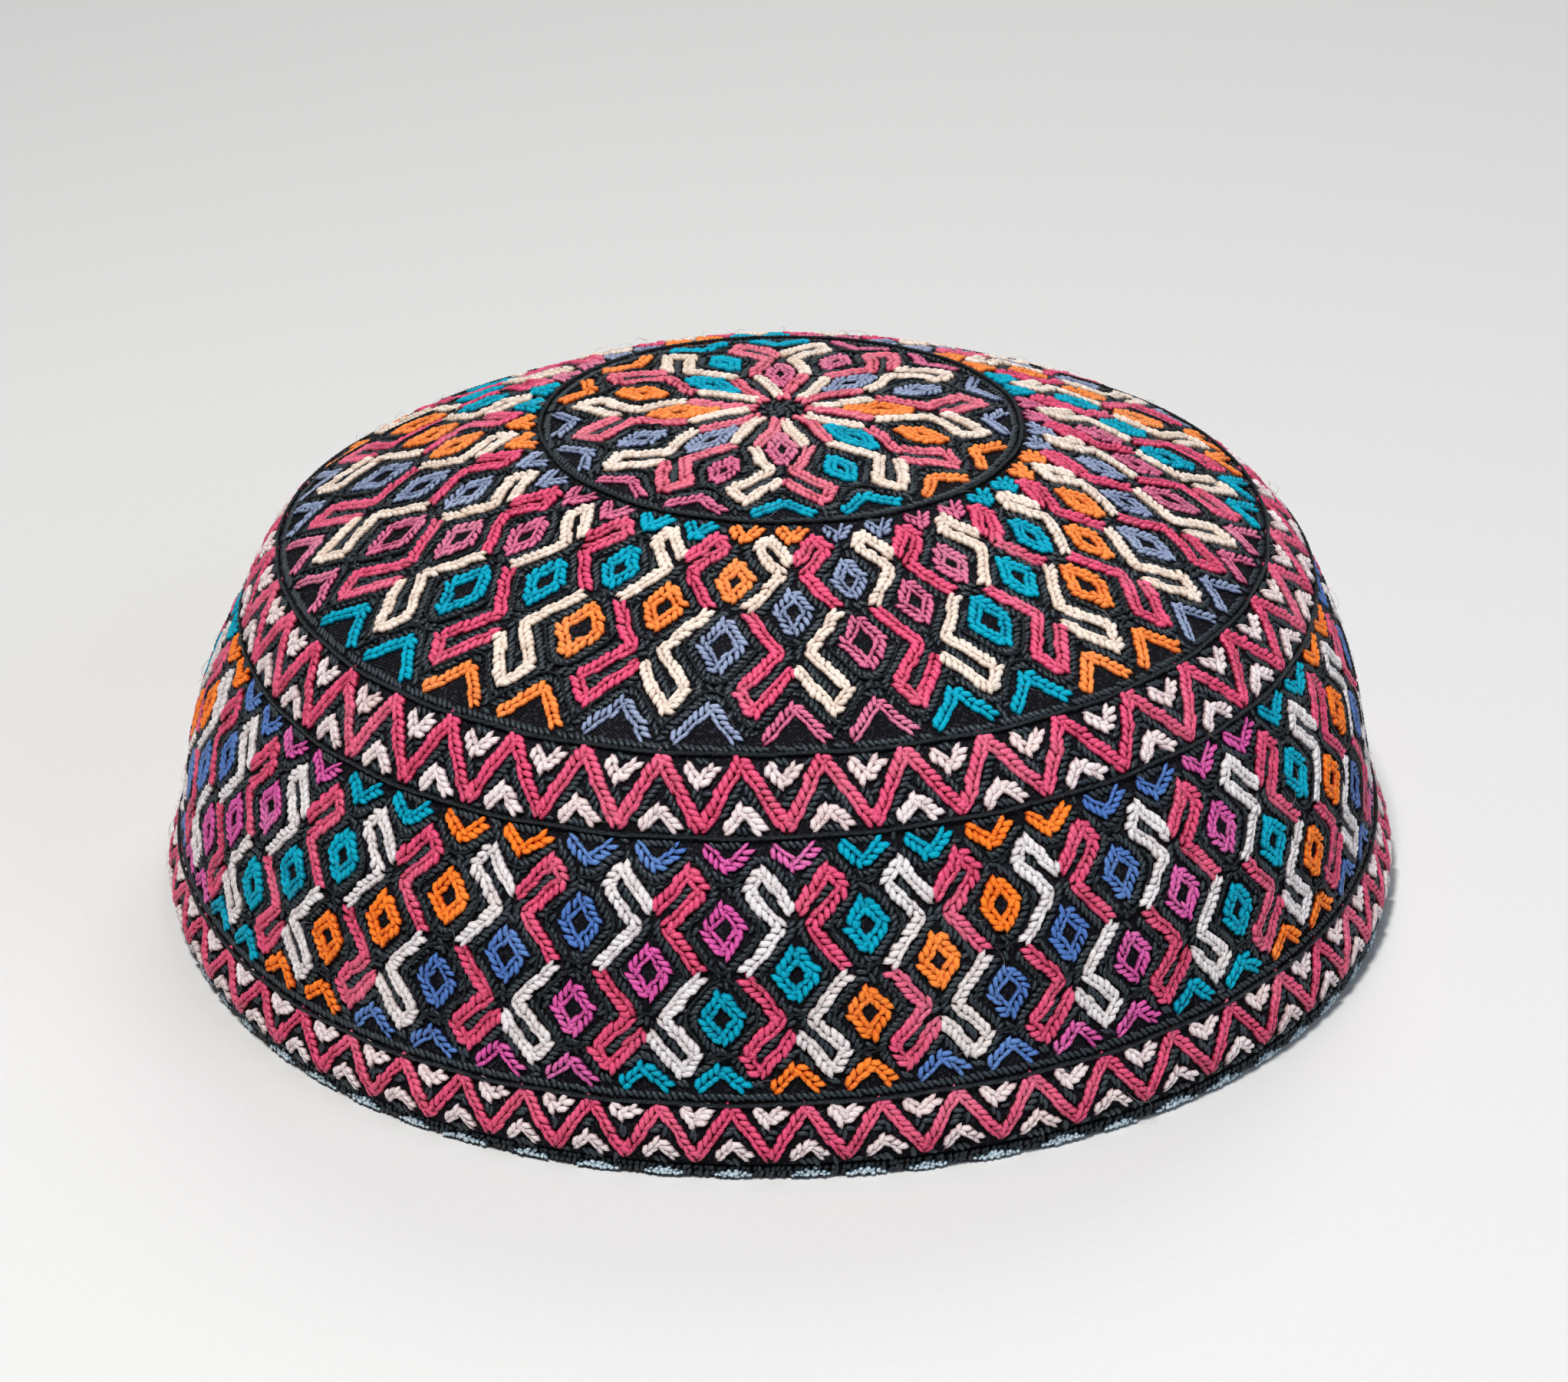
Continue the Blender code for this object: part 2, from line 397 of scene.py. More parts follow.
def cloth_panel(name, top, bottom, rows, node):
    """A ring of twill: a circle carried down the outline, settled, given its wall and its weave."""
    start()
    stops = np.linspace(top, bottom, rows + 1)
    radius = np.interp(stops, ARC, LINE[:, 0])
    height = np.interp(stops, ARC, LINE[:, 1])
    whole = top == 0
    if whole:
        radius[0], height[0] = 0.25 * radius[1], LINE[0, 1]
    bpy.ops.mesh.primitive_circle_add(vertices=SHELL_SIDES, radius=radius[0],
                                      fill_type="TRIFAN" if whole else "NOTHING",
                                      location=(0, 0, height[0]))
    bpy.ops.object.transform_apply()
    edit()
    if whole:
        pick(lambda co: co.xy.length > 0.5 * radius[0])
        bpy.ops.mesh.select_mode(type="EDGE")
        bpy.ops.mesh.select_all(action="SELECT")
        bpy.ops.mesh.region_to_loop()
    else:
        bpy.ops.mesh.select_all(action="SELECT")
    for i in range(rows):
        bpy.ops.mesh.extrude_region_move(
            TRANSFORM_OT_translate={"value": (0, 0, height[i + 1] - height[i])})
        grow = radius[i + 1] / radius[i]
        bpy.ops.transform.resize(value=(grow, grow, 1), center_override=(0, 0, height[i + 1]))
    bpy.ops.mesh.select_all(action="SELECT")
    bpy.ops.mesh.normals_make_consistent(inside=False)
    panel = done(name)
    mesh = panel.data
    round_form = coordinates(mesh)
    reach = np.hypot(round_form[:, 0], round_form[:, 1])
    angle = np.arctan2(round_form[:, 0], -round_form[:, 1])
    mesh.vertices.foreach_set("co", (settled(reach, angle, round_form[:, 2]) - MIDDLE).ravel())
    down = np.interp(-round_form[:, 2], -LINE[:, 1], ARC)
    lay_weave(mesh, round_form, angle, down, whole)
    if mesh.polygons[len(mesh.polygons) // 2].normal.dot(Vector((*mesh.polygons[
            len(mesh.polygons) // 2].center.xy, 0.02))) < 0:
        mesh.flip_normals()
    wall = panel.modifiers.new("wall", "SOLIDIFY")
    wall.thickness, wall.offset = CLOTH, -1
    bpy.ops.object.modifier_apply(modifier=wall.name)
    bpy.ops.object.shade_smooth_by_angle(angle=math.radians(40))
    return keep(panel, "embroidered_cloth", TWILL, node)


def lay_weave(mesh, round_form, angle, down, flat):
    """The weave's own map in metres: flat over the crown, and along and down the cloth elsewhere."""
    weave = mesh.uv_layers.get("UVMap") or mesh.uv_layers.new(name="UVMap")
    corner = np.empty(len(mesh.loops), np.int32)
    mesh.loops.foreach_get("vertex_index", corner)
    if flat:
        where = round_form[corner, :2]
    else:
        first = np.empty(len(mesh.polygons), np.int32)
        mesh.polygons.foreach_get("loop_start", first)
        count = np.empty(len(mesh.polygons), np.int32)
        mesh.polygons.foreach_get("loop_total", count)
        lead = np.repeat(angle[corner[first]], count)
        turn = lead + (angle[corner] - lead + math.pi) % math.tau - math.pi
        where = np.stack([turn * column["radius"][5], down[corner]], 1)
    weave.data.foreach_set("uv", where.ravel())


PANELS = (
    # piece, from, to, rows, node
    ("crown_cloth", 0.0, STOP["crown edge"], 26, "crown_top"),
    ("border_cloth", STOP["crown edge"], STOP["border seam"], 6, "upper_border_band"),
    ("side_cloth", STOP["border seam"], STOP["hem seam"], 18, "side_band"),
    ("hem_cloth", STOP["hem seam"], EDGE_ARC, 6, "hem_band"),
)
for name, top, bottom, rows, node in PANELS:
    cloth_panel(name, top, bottom, rows, node)


# Stitches, each modelled once

def leaf(length, thick, where=(0, 0, 0), slant=0.0, tilt=0.0, bow=0.0):
    """One lobe of thread: a small ball drawn out along the row, bowed, then slanted across it."""
    start()
    bpy.ops.mesh.primitive_ico_sphere_add(subdivisions=1, radius=0.5 * MM)
    edit()
    bpy.ops.mesh.select_all(action="SELECT")
    bpy.ops.transform.rotate(value=math.radians(90), orient_axis="Y", center_override=(0, 0, 0))
    bpy.ops.transform.resize(value=(length, thick, thick), center_override=(0, 0, 0))
    if bow:
        pick(lambda co: abs(co.x) > 0.45 * length * MM)
        bpy.ops.transform.translate(value=(0, -bow * MM, 0))
    bpy.ops.object.mode_set(mode="OBJECT")
    mesh = bpy.context.object.data
    strand = mesh.uv_layers.active or mesh.uv_layers.new(name="UVMap")
    for loop in mesh.loops:
        point = mesh.vertices[loop.vertex_index].co
        strand.data[loop.index].uv = (point.x, point.y + point.z)
    bpy.ops.object.mode_set(mode="EDIT")
    bpy.ops.mesh.select_all(action="SELECT")
    bpy.ops.transform.rotate(value=slant, orient_axis="Z", center_override=(0, 0, 0))
    bpy.ops.transform.rotate(value=tilt, orient_axis="Y", center_override=(0, 0, 0))
    bpy.ops.transform.translate(value=tuple(value * MM for value in where))
    return done("leaf")


def chain_link(name, side, rail, lobe):
    """One loop of chain stitch: a long thin rail on one side of the row, a plump slanting lobe on the other."""
    start()
    halves = [leaf(length, thick, (ahead, side * away, up), -side * math.radians(slant), 0.08, side * bow)
              for length, thick, ahead, away, up, slant, bow in (rail, lobe)]
    start()
    for half in halves:
        half.select_set(True)
    bpy.context.view_layer.objects.active = halves[0]
    bpy.ops.object.join()
    bpy.context.object.name = name
    return bpy.context.object


def fill_link():
    """A slanting stroke of the black filling."""
    return leaf(1.86, 0.78, (0, 0, 0.12), math.radians(46), 0.0, 0.10)


def cord_grain(sides, length, thick, name):
    """One slanting strand of a twisted cord: a stretched double cone."""
    start()
    bpy.ops.mesh.primitive_cone_add(vertices=sides, radius1=0.5 * thick, radius2=0, depth=0.5 * length,
                                    end_fill_type="NGON", location=(0, 0, 0.25 * length))
    bpy.ops.object.transform_apply()
    edit("FACE")
    bpy.ops.mesh.select_all(action="DESELECT")
    bpy.ops.object.mode_set(mode="OBJECT")
    for face in bpy.context.object.data.polygons:
        face.select = face.normal.z < -0.9
    bpy.ops.object.mode_set(mode="EDIT")
    bpy.ops.mesh.poke(offset=0.5 * length)
    bpy.ops.mesh.select_all(action="SELECT")
    bpy.ops.transform.rotate(value=math.radians(90), orient_axis="Y", center_override=(0, 0, 0))
    return done(name)


class Stamp:
    """A modelled stitch read into arrays, to be copied along the rows."""

    def __init__(self, piece):
        mesh = piece.data
        self.points = coordinates(mesh)
        self.corner = np.empty(len(mesh.loops), np.int32)
        mesh.loops.foreach_get("vertex_index", self.corner)
        self.count = np.empty(len(mesh.polygons), np.int32)
        mesh.polygons.foreach_get("loop_total", self.count)
        # rise: each point's height within the stitch, which the thread finish turns into painted shade low down and
        # a painted highlight on top
        low, high = self.points[:, 2].min(), self.points[:, 2].max()
        self.rise = (self.points[:, 2] - low) / (high - low)
        strand = np.empty(len(mesh.loops) * 2, np.float32)
        mesh.uv_layers.active.data.foreach_get("uv", strand)
        self.strand = strand.reshape(-1, 2)
        bpy.data.objects.remove(piece)


def stamped(name, stamp, rows):
    """One mesh from a stitch copied to every place: rows is (points, along, normal, size, tone)."""
    points, along, normal, size, tone = rows
    along = along / np.linalg.norm(along, axis=1, keepdims=True)
    across = np.cross(normal, along)
    across /= np.linalg.norm(across, axis=1, keepdims=True)
    up = np.cross(along, across)
    turn = np.stack([along, across, up], 2)
    shape = stamp.points[None] * size[:, None]
    world = np.einsum("nij,npj->npi", turn, shape) + points[:, None]
    many, each = len(points), len(stamp.points)
    corner = (stamp.corner[None] + each * np.arange(many)[:, None]).ravel()
    count = np.tile(stamp.count, many)
    mesh = bpy.data.meshes.new(name)
    mesh.vertices.add(many * each)
    mesh.vertices.foreach_set("co", world.ravel())
    mesh.loops.add(len(corner))
    mesh.loops.foreach_set("vertex_index", corner)
    mesh.polygons.add(len(count))
    mesh.polygons.foreach_set("loop_start", np.concatenate([[0], np.cumsum(count)[:-1]]))
    mesh.polygons.foreach_set("loop_total", count)
    mesh.polygons.foreach_set("use_smooth", np.ones(len(count), bool))
    mesh.update()
    strand = mesh.uv_layers.new(name="UVMap")
    strand.data.foreach_set("uv", np.tile(stamp.strand, (many, 1)).ravel())
    mesh.attributes.new("tone", "FLOAT", "POINT").data.foreach_set("value", np.repeat(tone, each))
    # the rise attribute drives the painted shade and painted highlight of each stitch
    mesh.attributes.new("rise", "FLOAT", "POINT").data.foreach_set("value", np.tile(stamp.rise, many))
    piece = bpy.data.objects.new(name, mesh)
    bpy.context.scene.collection.objects.link(piece)
    return piece


# The chart of the embroidery, in figures round the cap and shares of a band's height

BANDS = {
    "medallion": (0.0, STOP["crown ring"]),
    "crown": (STOP["crown ring"], STOP["crown edge"]),
    "border": (STOP["crown edge"], STOP["border seam"]),
    "side": (STOP["border seam"], STOP["hem seam"]),
    "hem": (STOP["hem seam"], EDGE_ARC),
}
DRIFT = {
    # how far, in degrees, the handwork runs ahead of even spacing: waves round, cosine, sine
    "medallion": (),
    "crown": ((0, -5.2, 0), (1, 5.4, 6.0), (2, 2.2, 0.7), (3, -0.6, -0.7)),
    "border": ((0, 2.6, 0), (1, -1.0, -1.9), (2, -1.3, -0.3)),
    "side": ((0, 2.1, 0), (1, -2.2, 1.4), (2, -0.4, -0.1), (3, 1.4, -0.1)),
    "hem": ((0, -1.4, 0), (1, 1.4, 2.0), (3, -1.6, -0.8)),
}
COLOURS = ("teal", "orange", "blue", "magenta")
HOOK = ((0, 0.445), (-0.49, 0.77), (-0.69, 0.61), (-0.215, 0.34), (-0.73, 0))


def fill_sides(row):
    """The sides of a row that get black stitches: a diamond's and a vee's inside stay bare."""
    if row.filled == "both":
        return (1, -1)
    middle = len(row.arc) // 2
    if row.filled == "outside":
        return (-1,)
    return (1,) if row.arc[middle] > row.arc[0] else (-1,)


class Row:
    """One line of chain stitch: its band, thread and corners as (angle, share down), where black goes
    beside it, which side its lobes lie on (1 is the left of the way it runs) and how wide it is."""

    def __init__(self, band, colour, corners, closed=False, filled="both", lobes=0, width=1.0):
        self.band, self.colour, self.closed, self.filled = band, colour, closed, filled
        self.width, self.trim = width, 0 if closed else 3.5 if filled == "both" else 1.5
        angle = np.array([corner[0] for corner in corners], float)
        share = np.array([corner[1] for corner in corners], float)
        drift = sum((c * np.cos(n * angle) + s * np.sin(n * angle) for n, c, s in DRIFT[band]),
                    np.zeros_like(angle))
        top, bottom = BANDS[band]
        self.angle = angle + np.radians(drift)
        self.arc = top + share * (bottom - top)
        self.lobes = lobes or -fill_sides(self)[0]

    def walk(self, step=SAMPLE, ease=0.50 * MM):
        """Even samples (angle, arc) along the row with its corners eased, and where its corners fall."""
        angle, arc = self.angle, self.arc
        if self.closed:
            angle, arc = np.append(angle, angle[0]), np.append(arc, arc[0])
            if abs(self.angle[-1] - self.angle[0]) > math.pi:
                angle[-1] += math.tau
        fine = np.linspace(0, len(angle) - 1, 60 * (len(angle) - 1) + 1)
        angle = np.interp(fine, np.arange(len(self.angle) + self.closed), angle)
        arc = np.interp(fine, np.arange(len(self.arc) + self.closed), arc)
        length = np.concatenate([[0], np.cumsum(
            np.linalg.norm(np.diff(on_cloth(angle, arc), axis=0), axis=1))])
        corners = length[::60]
        even = np.linspace(0, length[-1], max(int(length[-1] / step), 8) + 1)
        corners = corners / length[-1] * (len(even) - 1)
        angle, arc = np.interp(even, length, angle), np.interp(even, length, arc)
        reach = max(int(ease / step), 1)
        weight = np.ones(2 * reach + 1) / (2 * reach + 1)
        if self.closed:
            round_once = angle[-1] - angle[0]
            angle = np.concatenate([angle[-reach - 1:-1] - round_once, angle, angle[1:reach + 1] + round_once])
            arc = np.concatenate([arc[-reach - 1:-1], arc, arc[1:reach + 1]])
        else:
            angle = np.concatenate([2 * angle[0] - angle[reach:0:-1], angle,
                                    2 * angle[-1] - angle[-2:-reach - 2:-1]])
            arc = np.concatenate([2 * arc[0] - arc[reach:0:-1], arc, 2 * arc[-1] - arc[-2:-reach - 2:-1]])
        return np.convolve(angle, weight, "valid"), np.convolve(arc, weight, "valid"), corners


def lattice(band, figures, first, share, side_diamond, sizes, vee, wedge, swaps):
    """The hooked figures of the crown and the side, their diamonds, and the vees along both seams."""
    half = math.pi / figures
    rows = []
    for k in range(figures):
        colour = COLOURS[(k + first) % 4]
        colour, pale = swaps.get(colour, colour), swaps.get("white", "white")

        def add(thread, offset, corners, **how):
            rows.append(Row(band, thread, [((2 * k + offset + x) * half, share(y, (2 * k + offset + x) * half))
                                           for x, y in corners], **how))
        add(pale, 0, HOOK, lobes=-1)
        add("red", 0, [(-x, y) for x, y in HOOK], lobes=1)
        add("red", 0, [(x, -y) for x, y in HOOK], lobes=1)
        add(pale, 0, [(-x, -y) for x, y in HOOK], lobes=-1)
        for offset, level, (wide, tall) in zip((0, -1, 1), (0, -side_diamond, side_diamond), sizes):
            add(colour, offset, [(0, level + tall), (wide, level), (0, level - tall), (-wide, level)],
                closed=True, filled="outside")
        wide, apex, end = vee
        for offset in (1, 2):
            add(colour, offset, [(-wide, end), (0, apex), (wide, end)], filled="point")
        wide, apex, end = wedge
        for offset in (-2, -1):
            add(colour, offset, [(-wide, -end), (0, -apex), (wide, -end)], filled="point")
    return rows


def zigzag(band, teeth, peaks, dips, vee, wedge, width, small):
    """The toothed line of a border, with a short vee in every tooth above and below it."""
    half = math.pi / teeth
    corners = [(half * i, peaks if i % 2 else dips) for i in range(2 * teeth)]
    rows = [Row(band, "red", corners, closed=True, lobes=1, width=width)]
    for k in range(teeth):
        wide, end, apex = vee
        angle = 2 * k * half
        rows.append(Row(band, "pink", [(angle - wide * half, end), (angle, apex), (angle + wide * half, end)],
                        filled="point"))
        wide, end, apex = wedge
        angle += half
        rows.append(Row(band, "pink", [(angle - wide * half, end), (angle, apex), (angle + wide * half, end)],
                        filled="point", width=small))
    return rows


def medallion(figures=8):
    """The star of eight hooked figures round the crown's centre."""
    half = math.pi / figures
    rows = []
    for k in range(figures):
        colour = ("mauve", "teal", "apricot", "slate")[k % 4]

        def add(thread, offset, corners, **how):
            rows.append(Row("medallion", thread, [((2 * k + offset + x) * half, v) for x, v in corners], **how))
        for turn, outer, inner in ((1, "cream", "rose"), (-1, "rose", "cream")):
            hook = [(turn * x, 0.40 + 0.60 * y) for x, y in HOOK]
            add(outer, 0, hook, lobes=turn)
            add(inner, 0, [hook[-1], (-turn * 0.20, 0.095 if turn > 0 else 0.125)], lobes=turn)
        add(colour, 0, [(0, 0.26), (0.30, 0.41), (0, 0.54), (-0.30, 0.41)], closed=True, filled="outside")
        add(colour, -1, [(0, 0.52), (0.2, 0.62), (0, 0.72), (-0.2, 0.62)], closed=True, filled="outside")
        for offset in (-2, -1):
            add(colour, offset, [(-0.35, 0.945), (0, 0.85), (0.35, 0.945)], filled="point")
    return rows


def even_share(y, angle):
    return (1 - y) / 2


def crown_share(y, angle):
    """The crown's figures sit a little high, most of all at the front."""
    return (1 - y) / 2 - (0.05 + 0.03 * math.cos(angle)) * (1 - y * y)


ROWS = medallion()
ROWS += lattice("crown", 20, 2, crown_share, 0.28, ((0.25, 0.185), (0.28, 0.20), (0.25, 0.185)),
                (0.31, 0.72, 0.93), (0.37, 0.71, 0.93), {"white": "cream", "blue": "slate",
                                                         "magenta": "mauve", "orange": "apricot"})
ROWS += zigzag("border", 40, 0.04, 0.90, (0.40, 0.12, 0.38), (0.47, 0.92, 0.66), 1.02, 1.0)
ROWS += lattice("side", 28, 0, even_share, 0.33, ((0.25, 0.185), (0.25, 0.185), (0.25, 0.185)),
                (0.35, 0.77, 0.93), (0.34, 0.72, 0.89), {})
ROWS += zigzag("hem", 56, 0.05, 0.84, (0.42, 0.08, 0.30), (0.47, 0.84, 0.60), 0.88, 0.82)


# Rows of coloured chain stitch

PIECE_OF = {"medallion": "crown", "crown": "crown", "border": "border", "side": "side", "hem": "hem"}


def seated(angle, arc, way_angle, way_arc, lift):
    """Points a little above the cloth, with the direction of the row and the cloth's normal there."""
    round_way, down_way, normal, per_angle, per_arc = cloth_axes(angle, arc)
    along = round_way * (way_angle * per_angle)[:, None] + down_way * (way_arc * per_arc)[:, None]
    return on_cloth(angle, arc) + normal * lift, along, normal


def scattered(points, along, normal, size_spread=0.08, turn_spread=0.10, slip=0.06 * MM, width=1.0, tall=1.0):
    """Adds the small differences from stitch to stitch that handwork has."""
    many = len(points)
    across = np.cross(normal, along)
    along = along / np.linalg.norm(along, axis=1, keepdims=True)
    across /= np.linalg.norm(across, axis=1, keepdims=True)
    along = along + across * RANDOM.normal(0, turn_spread, (many, 1))
    points = points + across * RANDOM.normal(0, slip, (many, 1)) + normal * RANDOM.normal(0, 0.03 * MM, (many, 1))
    size = np.array([1.0, width, tall]) * (1 + RANDOM.normal(0, size_spread, (many, 3)))
    return points, along, normal, size, RANDOM.random(many)


def wandering(points, along, normal, run):
    """Lets a row stray a little to each side, as a hand-drawn line does."""
    across = np.cross(normal, along)
    across /= np.linalg.norm(across, axis=1, keepdims=True)
    stray = RANDOM.uniform(0.05, 0.14) * np.sin(run / (RANDOM.uniform(0.6, 1.0) * MM) + RANDOM.uniform(0, math.tau))
    return points + across * stray[:, None] * MM, along, normal


def join(parts):
    return [np.concatenate(column) for column in zip(*parts)]


LINKS = (
    # threads, then length, thickness, place ahead, aside and up, slant and bow, of the rail and of the lobe
    (("red", "rose"), (2.30, 0.88, 0.0, -0.62, 0.20, -4, 0), (2.25, 1.06, 0.1, 0.34, 0.24, 36, 0.16)),
    (("teal", "orange", "apricot"), (2.00, 0.92, 0.0, -0.60, 0.20, -8, 0), (2.05, 1.04, 0.1, 0.34, 0.22, 33, 0.14)),
    (("white", "cream", "pink"), (2.20, 0.90, 0.0, -0.54, 0.24, -3, 0), (2.20, 1.10, 0.1, 0.27, 0.25, 37, 0.18)),
    (("blue", "slate", "magenta", "mauve"), (2.30, 0.70, 0.0, -0.62, 0.18, -3, 0),
     (2.15, 0.86, 0.1, 0.30, 0.20, 35, 0.16)),
)


def stitch_rows():
    """Places the coloured stitches, piece by piece, and returns every row's samples for the filling."""
    links = {}
    for colours, rail, lobe in LINKS:
        for side in (1, -1):
            link = Stamp(chain_link("link", side, rail, lobe))
            links.update({(colour, side): link for colour in colours})
    work, samples = {}, []
    for row in ROWS:
        angle, arc, corners = row.walk()
        way_angle, way_arc = np.gradient(angle), np.gradient(arc)
        samples.append((row, angle, arc, way_angle, way_arc))
        spots = []
        corners = corners.copy()
        corners[0] += row.trim
        corners[-1] -= row.trim
        for leave, reach in zip(corners[:-1], corners[1:]):
            many = max(round((reach - leave) * SAMPLE / LINK_PITCH), 1)
            spots.append(leave + (np.arange(many) + 0.5) / many * (reach - leave))
        index = np.concatenate(spots).astype(int)
        lift = 0.09 * MM if row.colour in ("white", "cream", "pink") else 0.03 * MM
        placed = seated(angle[index], arc[index], way_angle[index], way_arc[index], lift)
        placed = wandering(*placed, index * SAMPLE)
        work.setdefault((PIECE_OF[row.band], row.colour), {}).setdefault(row.lobes, []).append(
            scattered(*placed, width=row.width, tall=row.width ** 0.5))
    for (panel, colour), sides in work.items():
        made = [stamped("half", links[colour, side], join(parts)) for side, parts in sides.items()]
        start()
        for half in made:
            half.select_set(True)
        bpy.context.view_layer.objects.active = made[0]
        if len(made) > 1:
            bpy.ops.object.join()
        made[0].name = made[0].data.name = f"{panel}_{colour}_stitches"
        keep(made[0], "embroidered_cloth", THREADS[colour])
    return samples


samples = stitch_rows()


# The black filling

class Near:
    """Finds the nearest of many points."""

    def __init__(self, points):
        self.tree = KDTree(len(points))
        for i, point in enumerate(points):
            self.tree.insert(point, i)
        self.tree.balance()

    def gap(self, points):
        return np.array([self.tree.find(point)[2] for point in points])

    def which(self, points):
        return np.array([self.tree.find(point)[1] for point in points])


class Crowd:
    """Remembers where stitches lie, so that the next row leaves them room."""

    def __init__(self, cell=1.2 * MM):
        self.cell, self.held = cell, {}

    def key(self, point):
        return tuple(int(math.floor(value / self.cell)) for value in point)

    def add(self, point, row):
        self.held.setdefault(self.key(point), []).append((*point, row))

    def free(self, point, row, room):
        i, j, k = self.key(point)
        x, y, z = point
        for cell in ((i + di, j + dj, k + dk) for di in (-1, 0, 1) for dj in (-1, 0, 1) for dk in (-1, 0, 1)):
            for a, b, c, owner in self.held.get(cell, ()):
                if owner != row and (a - x) ** 2 + (b - y) ** 2 + (c - z) ** 2 < room * room:
                    return False
        return True


def beside(angle, arc, way_angle, way_arc, away):
    """The row's samples moved sideways over the cloth by this much, with fans round its outer corners."""
    round_way, down_way, normal, per_angle, per_arc = cloth_axes(angle, arc)
    heading = np.unwrap(np.arctan2(way_arc * per_arc, way_angle * per_angle))
    place = np.arange(len(heading))
    turn = np.abs(np.diff(heading, prepend=heading[0])) * abs(away)
    reach = np.cumsum(SAMPLE + turn)
    even = np.arange(reach[0], reach[-1], 0.15 * MM)
    at = np.interp(even, reach, place)
    heading = np.interp(at, place, heading)
    angle = np.interp(at, place, angle) - away * np.sin(heading) / np.interp(at, place, per_angle)
    arc = np.interp(at, place, arc) + away * np.cos(heading) / np.interp(at, place, per_arc)
    return angle, arc


def runs(kept, shortest):
    """The unbroken stretches of kept samples, as (first, last + 1)."""
    edges = np.flatnonzero(np.diff(np.concatenate([[False], kept, [False]]).astype(int)))
    return [(a, b) for a, b in zip(edges[::2], edges[1::2]) if b - a >= shortest]


BAND_EDGE = 0.9 * MM


def scattered_over(band, step):
    """Points spread evenly but unevenly over a band, in random order."""
    top, bottom = BANDS[band]
    angles, arcs = [], []
    for arc in np.arange(top + 0.3 * MM, bottom, step):
        many = max(int(math.tau * np.interp(arc, ARC, LINE[:, 0]) / step), 1)
        angles.append((np.arange(many) + RANDOM.random(many)) / many * math.tau)
        arcs.append(arc + RANDOM.uniform(-0.4, 0.4, many) * step)
    angle, arc = np.concatenate(angles), np.concatenate(arcs)
    order = RANDOM.permutation(len(angle))
    return angle[order], arc[order]


def bare(band, angle, arc):
    """True inside the diamonds and the vees of this band, where the twill shows."""
    inside = np.zeros(len(angle), bool)
    for row in ROWS:
        if row.band != band or row.filled == "both" or band in ("border", "hem"):
            continue
        middle, level = row.angle.mean(), row.arc.mean()
        if not row.closed:
            middle, level = row.angle[1], row.arc[1]
        turn = (angle - middle + math.pi) % math.tau - math.pi
        if row.closed:
            wide, tall = abs(row.angle[1] - row.angle[3]) / 2, abs(row.arc[0] - row.arc[2]) / 2
            inside |= np.abs(turn) / wide + np.abs(arc - level) / tall < 1
        else:
            wide, tall = abs(row.angle[2] - row.angle[0]) / 2, row.arc[0] - row.arc[1]
            depth = (arc - level) / tall
            inside |= (depth > 0) & (np.abs(turn) < wide * depth)
    return inside


